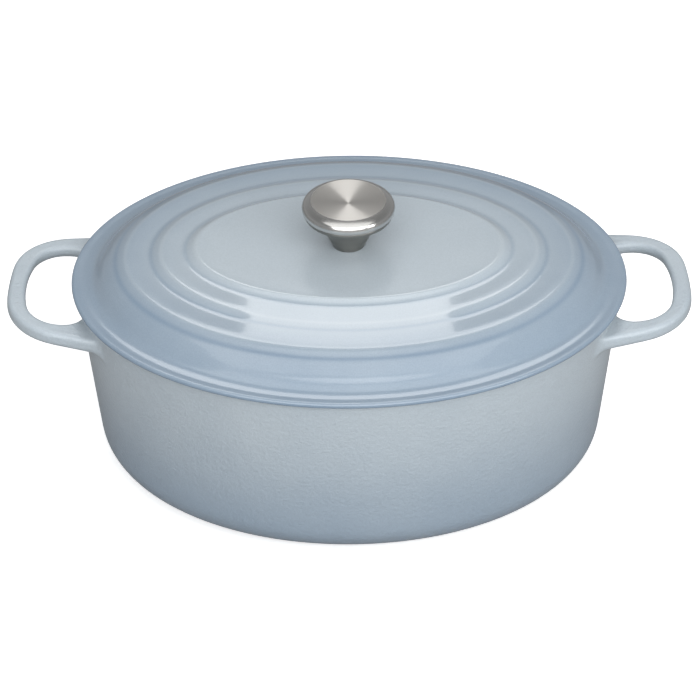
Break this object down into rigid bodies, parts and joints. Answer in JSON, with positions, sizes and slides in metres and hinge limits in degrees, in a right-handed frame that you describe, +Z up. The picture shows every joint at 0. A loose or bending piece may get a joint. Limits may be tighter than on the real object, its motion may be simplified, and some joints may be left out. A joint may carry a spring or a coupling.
{
  "type": "dutch oven",
  "caption": "Oval enamelled cast-iron dutch oven with cast loop handles and a stepped lid that lifts off by a dished steel knob.",
  "frame": {"origin": "centre of the base, on the surface the pot stands on", "axes": "+X along the oval's long axis to a handle, +Y across it to the back, +Z up"},
  "size_m": [0.3664, 0.234, 0.1583],
  "materials": {
    "pot_enamel": "glossy pale blue vitreous enamel fused to cast iron",
    "lid_enamel": "glossy blue vitreous enamel, lighter towards the centre, fused to cast iron",
    "knob_steel": "turned and satin-polished stainless steel",
    "screw_steel": "plain stainless steel fasteners",
    "insert_brass": "machined brass, hidden inside the neck"
  },
  "bodies": {
    "pot": {"pot": "pot_enamel"},
    "lid": {"lid": "lid_enamel", "knob_cap": "knob_steel", "knob_stem": "knob_steel", "knob_insert": "insert_brass", "flat_washer": "screw_steel", "lock_washer": "screw_steel", "knob_screw": "screw_steel"}
  },
  "joints": [
    {"name": "lid_lift", "type": "slide", "parent": "pot", "child": "lid", "axis": [0, 0, 1], "range_m": [0, 0.2]}
  ]
}
